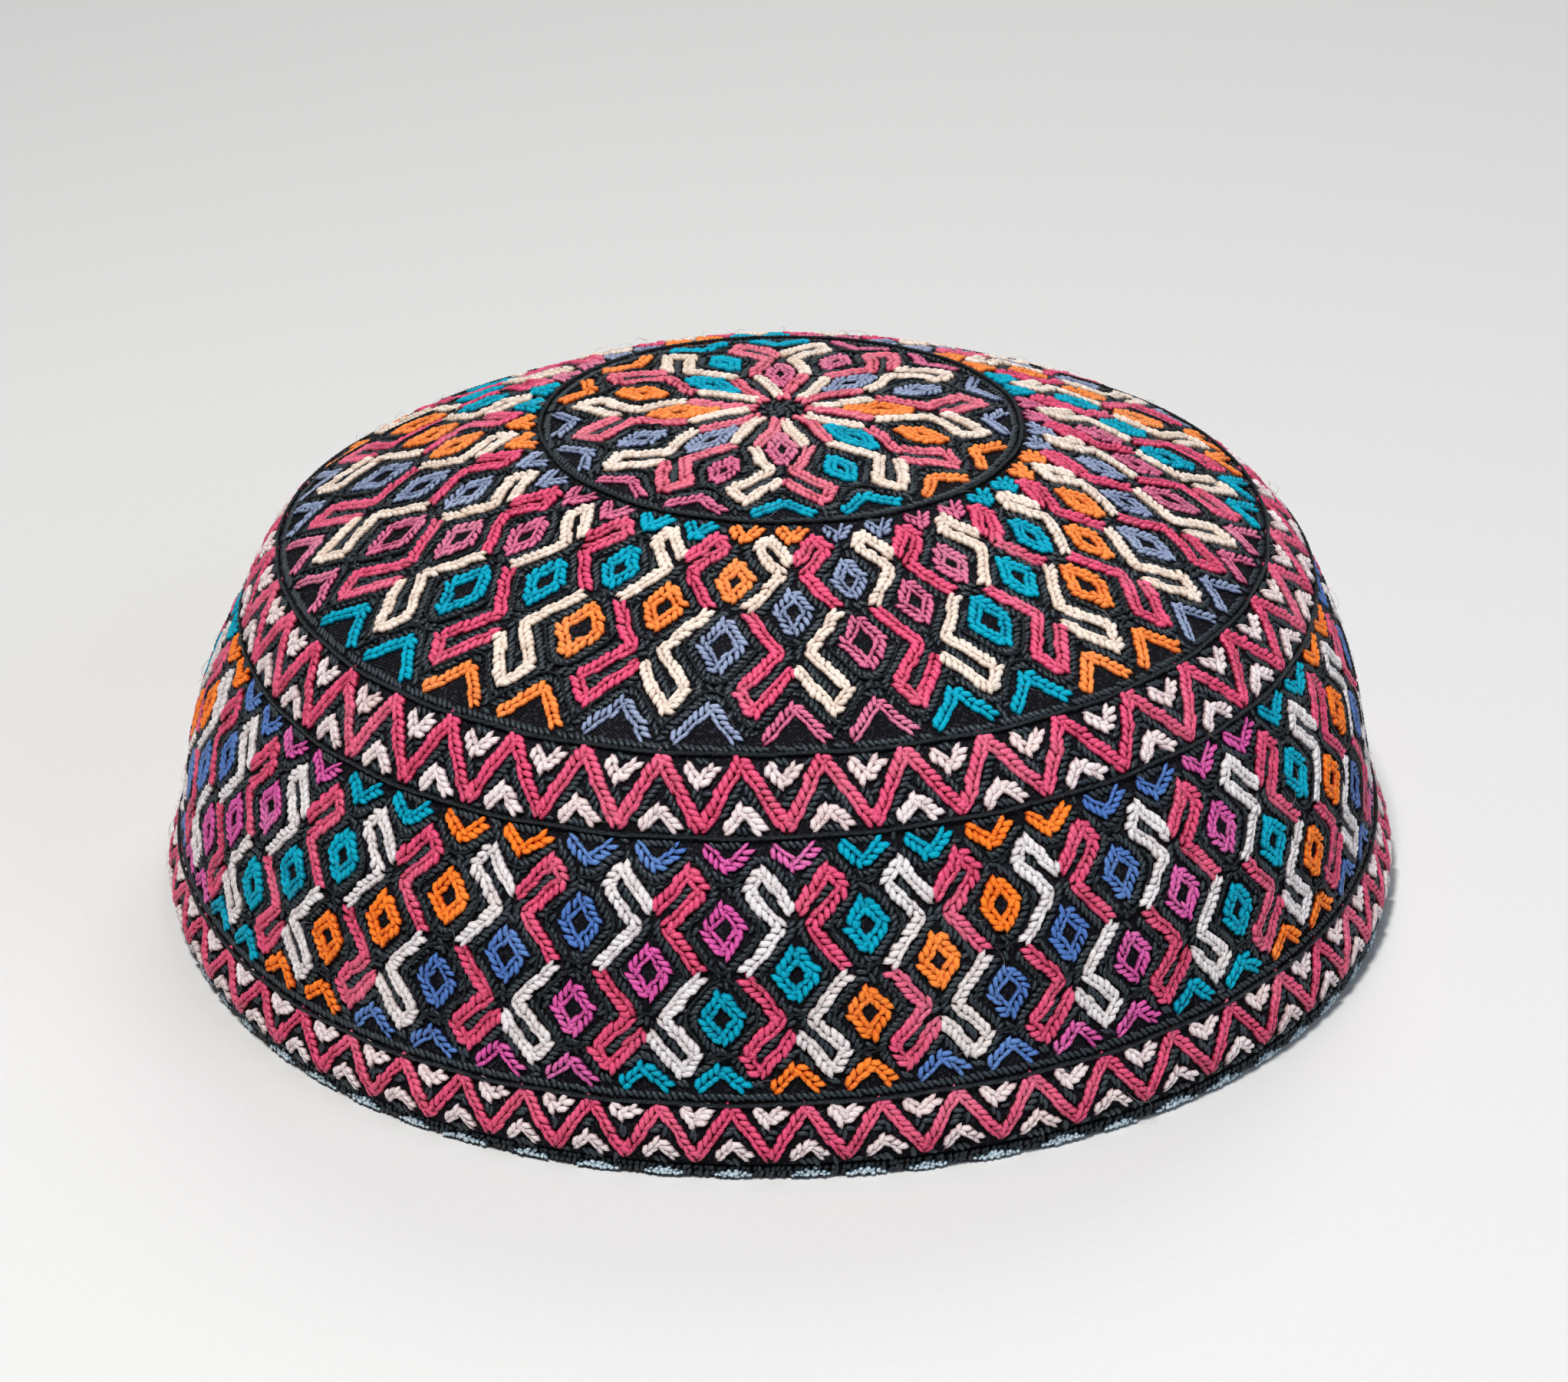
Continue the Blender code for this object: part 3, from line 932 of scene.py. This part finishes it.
def fill_black(samples):
    """Black chain stitch: a row along every seam, then rows beside the coloured ones while there is room."""
    stamp = Stamp(fill_link())
    coloured = np.concatenate([on_cloth(angle, arc) for _, angle, arc, _, _ in samples])
    near = Near(coloured[::2])
    crowd = Crowd()
    work = {}
    number = 0

    def lay(panel, angle, arc, room):
        nonlocal number
        number += 1
        way_angle, way_arc = np.gradient(angle), np.gradient(arc)
        points, along, normal = seated(angle, arc, way_angle, way_arc, 0.02 * MM)
        chosen = []
        for i, point in enumerate(points.tolist()):
            if crowd.free(point, number, room):
                crowd.add(point, number)
                chosen.append(i)
        if chosen:
            work.setdefault(panel, []).append(
                scattered(points[chosen], along[chosen], normal[chosen], 0.09, 0.16, 0.07 * MM))

    for panel, stop, way in (("crown", "crown ring", -1), ("crown", "crown ring", 1),
                             ("crown", "crown edge", -1), ("border", "crown edge", 1),
                             ("border", "border seam", -1), ("side", "border seam", 1),
                             ("side", "hem seam", -1), ("hem", "hem seam", 1)):
        arc = STOP[stop] + way * BAND_EDGE
        round_length = math.tau * np.interp(arc, ARC, LINE[:, 0])
        many = int(round_length / FILL_PITCH)
        angle = np.arange(many) / many * math.tau
        arcs = np.full(many, arc)
        clear = near.gap(on_cloth(angle, arcs)) > 1.00 * MM
        for first, last in runs(clear, 2):
            lay(panel, angle[first:last], arcs[first:last], 1.0 * MM)
    arc = EDGE_ARC - 0.7 * MM
    many = int(math.tau * 0.087 / FILL_PITCH)
    angle = np.arange(many) / many * math.tau
    clear = near.gap(on_cloth(angle, np.full(many, arc))) > 1.2 * MM
    for first, last in runs(clear, 2):
        lay("hem", angle[first:last], np.full(last - first, arc), 1.0 * MM)

    for radius, many in ((0.55 * MM, 4), (1.65 * MM, 9), (2.75 * MM, 8)):
        angle = (np.arange(many) + 0.5 * (many == 8)) / many * math.tau
        points, along, normal = seated(angle, np.full(many, radius), np.full(many, 0.02), np.full(many, 1e-3),
                                       0.05 * MM)
        work.setdefault("crown", []).append(scattered(points, along, normal, 0.08, 0.2, 0.05 * MM))
        for point in points.tolist():
            crowd.add(point, -3)

    for level in range(4):
        away = FILL_ROW + level * FILL_STEP
        for row, angle, arc, way_angle, way_arc in samples:
            top, bottom = BANDS[row.band]
            for side in fill_sides(row):
                turned, moved = beside(angle, arc, way_angle, way_arc, side * away)
                inside = (moved > max(top + BAND_EDGE * 0.6, 1.5 * MM)) & (moved < bottom - BAND_EDGE * 0.6)
                gaps = near.gap(on_cloth(turned, np.clip(moved, 0, EDGE_ARC)))
                kept = inside & (gaps > away - 0.26 * MM)
                for first, last in runs(kept, 5):
                    long = 0.15 * MM * (last - first)
                    many = max(round(long / FILL_PITCH), 1)
                    spots = first + ((np.arange(many) + 0.5) / many * (last - first)).astype(int)
                    if many == 1:
                        spots = np.array([first + 1, last - 2])[: 1 + (last - first > 4)]
                    if len(spots) > 1:
                        lay(PIECE_OF[row.band], turned[spots], moved[spots], 1.05 * MM)
    ways = np.concatenate([seated(angle, arc, way_angle, way_arc, 0)[1]
                           for _, angle, arc, way_angle, way_arc in samples])[::2]
    for band, (top, bottom) in BANDS.items():
        angle, arc = scattered_over(band, 0.55 * MM)
        arc_ok = (arc > max(top + 0.55 * MM, 1.2 * MM)) & (arc < bottom - 0.55 * MM)
        angle, arc = angle[arc_ok & ~bare(band, angle, arc)], arc[arc_ok & ~bare(band, angle, arc)]
        points = on_cloth(angle, arc)
        gaps = near.gap(points)
        loose = [i for i in np.flatnonzero(gaps > 1.34 * MM)
                 if crowd.free(points[i].tolist(), -1, 0.88 * MM) and not crowd.add(points[i].tolist(), -2)]
        if loose:
            _, _, normal, _, _ = cloth_axes(angle[loose], arc[loose])
            along = ways[near.which(points[loose])]
            work.setdefault(PIECE_OF[band], []).append(
                scattered(points[loose], along, normal, 0.10, 0.25, 0.0))
    for panel, parts in work.items():
        piece = stamped(f"{panel}_black_stitches", stamp, join(parts))
        keep(piece, "embroidered_cloth", THREADS["black"])
    return near


near = fill_black(samples)


# Fine dark cords

def corded(name, stamp, angle, arc, pitch, lift, slant, width=1.0):
    """A twisted cord laid along these samples: slanting strands that overlap."""
    points = on_cloth(angle, arc)
    length = np.concatenate([[0], np.cumsum(np.linalg.norm(np.diff(points, axis=0), axis=1))])
    many = max(int(length[-1] / pitch), 2)
    even = (np.arange(many) + 0.5) / many * length[-1]
    angle, arc = np.interp(even, length, angle), np.interp(even, length, arc)
    wave = 0.10 * MM * np.sin(even / (2.6 * MM)) + RANDOM.normal(0, 0.03 * MM, many)
    points, along, normal = seated(angle, arc, np.gradient(angle), np.gradient(arc), lift)
    along = along / np.linalg.norm(along, axis=1, keepdims=True)
    across = np.cross(normal, along)
    points = points + across * wave[:, None]
    along = along + across * (slant + RANDOM.normal(0, 0.05, (many, 1)))
    size = np.array([1, width, width]) * (1 + RANDOM.normal(0, 0.05, (many, 3)))
    return points, along, normal, size, RANDOM.random(many)


def ring_cords():
    stamp = Stamp(cord_grain(5, 1.7 * MM, 0.50 * MM, "cord_strand"))
    for piece_name, stop, node in (("crown_ring_cord", "crown ring", "crown_cord"),
                                   ("crown_rim_cord", "crown edge", "crown_edge_cord"),
                                   ("border_seam_cord", "border seam", "border_cord"),
                                   ("hem_seam_cord", "hem seam", "hem_cord")):
        angle = np.linspace(0, math.tau, 1441)
        arc = np.full_like(angle, STOP[stop])
        rows = [corded(piece_name, stamp, angle + shift, arc, RING_CORD_PITCH, 0.62 * MM, 0.34, 1.1)
                for shift in (0.0,)]
        keep(stamped(piece_name, stamp, join(rows)), "dark_cord", CORD, node)


def diamond_cords(samples):
    """A fine cord round every diamond and beside the vees, outside the first black row."""
    stamp = Stamp(cord_grain(4, 1.60 * MM, 0.40 * MM, "fine_strand"))
    work = {}
    for row, angle, arc, way_angle, way_arc in samples:
        if row.filled == "both" or row.band in ("border", "hem"):
            continue
        for side in fill_sides(row):
            turned, moved = beside(angle, arc, way_angle, way_arc, side * FINE_CORD_ROW)
            top, bottom = BANDS[row.band]
            inside = (moved > top + 1.2 * MM) & (moved < bottom - 1.2 * MM)
            gaps = near.gap(on_cloth(turned, np.clip(moved, 0, EDGE_ARC)))
            for first, last in runs(inside & (gaps > 1.35 * MM), 14):
                work.setdefault(PIECE_OF[row.band], []).append(
                    corded("", stamp, turned[first:last], moved[first:last], FINE_CORD_PITCH, 0.62 * MM, 0.13))
    for panel, parts in work.items():
        keep(stamped(f"{panel}_fine_cords", stamp, join(parts)), "dark_cord", CORD)


ring_cords()
diamond_cords(samples)


# The overcast edge

def rim_ring():
    """The fold that the edging thread is wound over."""
    start()
    bpy.ops.mesh.primitive_circle_add(vertices=SHELL_SIDES, radius=0.0849, location=(0, 0, 0.0001))
    bpy.ops.object.transform_apply()
    edit()
    bpy.ops.mesh.select_all(action="SELECT")
    for up, out in ((0.0, 2.2), (0.5, 0.5), (1.1, 0.0), (0.35, -0.4), (0.0, -2.3)):
        bpy.ops.mesh.extrude_region_move(TRANSFORM_OT_translate={"value": (0, 0, up * MM)})
        wide = rim_ring.radius + out * MM
        bpy.ops.transform.resize(value=(wide / rim_ring.radius, wide / rim_ring.radius, 1),
                                 center_override=(0, 0, 0))
        rim_ring.radius = wide
    bpy.ops.mesh.extrude_region_move(TRANSFORM_OT_translate={"value": (0, 0, -1.95 * MM)})
    bpy.ops.mesh.select_all(action="SELECT")
    bpy.ops.mesh.remove_doubles(threshold=0.00002)
    bpy.ops.mesh.normals_make_consistent(inside=False)
    ring = done("rim_fold")
    form = coordinates(ring.data)
    reach, angle = np.hypot(form[:, 0], form[:, 1]), np.arctan2(form[:, 0], -form[:, 1])
    place = settled(reach, angle, np.zeros_like(reach)) - MIDDLE
    place[:, 2] = form[:, 2]
    ring.data.vertices.foreach_set("co", place.ravel())
    ring.data.update()
    bpy.ops.object.shade_smooth_by_angle(angle=math.radians(40))
    return keep(ring, "edging_thread", TWILL, "rim_edging")


rim_ring.radius = 0.0849


def on_rim(angle, out, height):
    """Points round the rim at this height, a little outside the cloth, and the way along and outward."""
    radius = np.full(len(angle), 0.0874) + out
    ring = settled(radius, angle, np.zeros(len(angle))) - MIDDLE
    ahead = settled(radius, angle + 0.01, np.zeros(len(angle))) - MIDDLE - ring
    ahead[:, 2] = 0
    ahead /= np.linalg.norm(ahead, axis=1, keepdims=True)
    ring[:, 2] = height
    return ring, ahead, np.cross(ahead, [0, 0, 1.0])


def edging():
    """Black thread wound over the rim in uneven turns, and pale lumps of thread about every centimetre."""
    turn = Stamp(leaf(2.0, 0.78))
    parts = []
    for level, high in ((0.74 * MM, 1.0), (1.50 * MM, 0.85)):
        many = int(math.tau * 0.0876 / (0.78 * MM))
        angle = (np.arange(many) + RANDOM.uniform(-0.3, 0.3, many)) / many * math.tau
        size = np.stack([RANDOM.uniform(0.55, 0.72, many) * high, RANDOM.uniform(0.8, 1.15, many),
                         RANDOM.uniform(0.7, 1.1, many)], 1)
        points, ahead, outward = on_rim(angle, RANDOM.uniform(0.0, 0.25, many) * MM, level)
        up = np.array([0, 0, 1.0]) + ahead * RANDOM.normal(0.45, 0.35, (many, 1))
        parts.append((points, up, outward, size, RANDOM.random(many)))
    keep(stamped("rim_black_overcast", turn, join(parts)), "edging_thread", THREADS["black"])

    curl = Stamp(leaf(1.15, 0.78))
    parts = []
    spot = 0.0
    while spot < 0.0875 * math.tau - 5 * MM:
        long, tall = RANDOM.uniform(4.6, 7.2) * MM, RANDOM.uniform(0.75, 1.15) * MM
        for base, reach, pitch in ((0.30, 1.0, 0.52), (0.62, 0.72, 0.60), (0.98, 0.36, 0.66)):
            many = max(int(long * reach / (pitch * MM)), 1)
            along = (np.arange(many) + 0.5 + RANDOM.uniform(-0.3, 0.3, many)) / many
            angle = (spot + long * (0.5 + (along - 0.5) * reach)) / 0.0875
            height = 0.26 * MM + base * tall + RANDOM.normal(0, 0.07 * MM, many)
            points, ahead, outward = on_rim(angle, RANDOM.uniform(0.30, 0.55, many) * MM, height)
            way = ahead + np.array([0, 0, 1.0]) * RANDOM.normal(0.25 if base < 0.5 else 0.7, 0.6, (many, 1))
            size = RANDOM.uniform(0.60, 0.95, (many, 3)) * (1.1 - 0.3 * np.abs(2 * along - 1))[:, None]
            parts.append((points, way, outward, size, RANDOM.random(many)))
        spot += long + RANDOM.uniform(1.8, 4.4) * MM
    keep(stamped("rim_pale_overcast", curl, join(parts)), "edging_thread", OVERCAST)


def stray_hair():
    """One fine fibre that has worked loose: a thin tapering tube with a slow bend."""
    start()
    bpy.ops.mesh.primitive_circle_add(vertices=3, radius=0.030 * MM, fill_type="NGON",
                                      rotation=(0, math.radians(90), 0), location=(-1.0 * MM, 0, 0))
    bpy.ops.object.transform_apply()
    edit("FACE")
    bpy.ops.mesh.select_all(action="SELECT")
    for side, up in ((0.05, 0.30), (0.25, 0.15), (0.45, -0.05), (0.60, -0.20)):
        bpy.ops.mesh.extrude_region_move(TRANSFORM_OT_translate={
            "value": ((0.55 - 0.4 * side) * MM, side * MM, up * MM)})
        bpy.ops.transform.resize(value=(1, 0.8, 0.8))
    bpy.ops.mesh.select_all(action="SELECT")
    bpy.ops.mesh.normals_make_consistent(inside=False)
    piece = done("stray_hair")
    if not piece.data.uv_layers:
        piece.data.uv_layers.new(name="UVMap")
    return piece


def hairs(many=420):
    """Loose fibres all over the embroidery, more of them towards the rim."""
    stamp = Stamp(stray_hair())
    arc = EDGE_ARC * (0.03 + 0.96 * RANDOM.random(many) ** 0.62)
    angle = RANDOM.random(many) * math.tau
    round_way, down_way, normal, _, _ = cloth_axes(angle, arc)
    turn = RANDOM.random(many)[:, None] * math.tau
    along = round_way * np.cos(turn) + down_way * np.sin(turn) + normal * RANDOM.uniform(-0.2, 0.5, (many, 1))
    size = np.stack([RANDOM.uniform(0.6, 2.2, many), RANDOM.uniform(0.7, 1.6, many),
                     RANDOM.uniform(0.7, 1.6, many)], 1)
    points = on_cloth(angle, arc) + normal * RANDOM.uniform(0.7, 1.1, (many, 1)) * MM
    keep(stamped("stray_fibres", stamp, (points, along, normal, size, RANDOM.random(many))),
         "embroidered_cloth", LINT)


hairs()
rim_ring()
edging()


# Floor, light and camera

def stage():
    start()
    bpy.ops.mesh.primitive_plane_add(size=3.0, location=(0, 0, -0.0002))
    floor = bpy.context.object
    floor.name = "floor"
    floor.data.materials.append(floor_finish())


def light(name, where, size, power, colour):
    lamp = bpy.data.lights.new(name, "AREA")
    lamp.shape, lamp.size, lamp.energy, lamp.color = "DISK", size, power, colour
    holder = bpy.data.objects.new(name, lamp)
    holder.location = where
    holder.rotation_euler = (Vector((0, 0, 0.03)) - Vector(where)).to_track_quat("-Z", "Y").to_euler()
    bpy.context.scene.collection.objects.link(holder)


def lights():
    light("window", (-0.16, -0.46, 1.02), 0.16, 12.5, (1.0, 0.985, 0.965))
    light("fill", (0.75, -0.55, 0.62), 0.6, 2.5, (0.74, 0.86, 1.0))
    light("back", (0.15, 0.70, 0.80), 0.5, 3.0, (1.0, 0.98, 0.95))
    world = bpy.context.scene.world or bpy.data.worlds.new("studio")
    bpy.context.scene.world = world
    world.use_nodes = True
    world.node_tree.nodes["Background"].inputs["Color"].default_value = (0.74, 0.80, 0.90, 1)
    world.node_tree.nodes["Background"].inputs["Strength"].default_value = 0.17


def camera():
    """The photograph's view: from the front, looking down on the cap, turned a little."""
    height_angle, roll = math.radians(26.55), math.radians(-1.07)
    ahead = Vector((0, math.cos(height_angle), -math.sin(height_angle)))
    right, up = Vector((1, 0, 0)), Vector((0, math.sin(height_angle), math.cos(height_angle)))
    x_axis = right * math.cos(roll) + up * math.sin(roll)
    y_axis = up * math.cos(roll) - right * math.sin(roll)
    turn = Matrix((x_axis, y_axis, -ahead)).transposed().to_4x4()
    data = bpy.data.cameras.new("camera")
    data.sensor_width, data.lens = 36.0, 97.64
    data.clip_start, data.clip_end = 0.01, 10
    view = bpy.data.objects.new("camera", data)
    view.matrix_world = Matrix.Translation((0.00107, -0.54928, 0.30252)) @ turn
    bpy.context.scene.collection.objects.link(view)
    bpy.context.scene.camera = view


stage()
lights()
camera()
bpy.context.scene.view_settings.view_transform = "Standard"

total = sum(sum(len(p.vertices) - 2 for p in o.data.polygons)
            for o in bpy.context.scene.objects if o.type == "MESH" and o.name not in frame["nodes"])
print("triangles", total)
for o in bpy.context.scene.objects:
    if o.type == "MESH" and o.name not in frame["nodes"]:
        print("piece", o.name, sum(len(p.vertices) - 2 for p in o.data.polygons))
